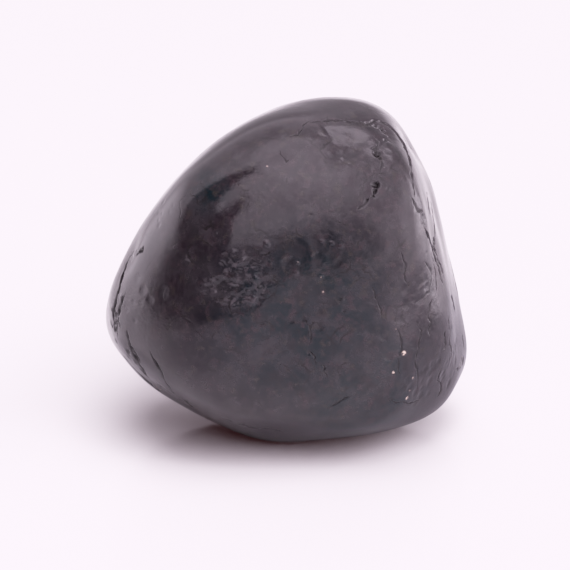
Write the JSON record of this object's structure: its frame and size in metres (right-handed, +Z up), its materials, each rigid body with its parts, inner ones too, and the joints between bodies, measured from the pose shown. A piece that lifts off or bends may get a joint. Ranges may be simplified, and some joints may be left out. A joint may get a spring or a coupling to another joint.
{
  "type": "tumbled spectrolite",
  "caption": "Rounded triangular pebble of dark polished feldspar with worn flats, fine cracks and pitted patches, resting on a small flat spot.",
  "frame": {"origin": "on the resting plane, under the middle of the bounding box", "axes": "+Z up, -Y towards the viewer of the broad front face, +X towards the steep right side; the stone is longest along X and thinnest along Y"},
  "size_m": [0.0286, 0.0236, 0.0268],
  "materials": {
    "polished_stone": "tumble-polished, glossy near-black with faint grey mottling"
  },
  "bodies": {
    "root": {"stone": "polished_stone"}
  },
  "joints": []
}
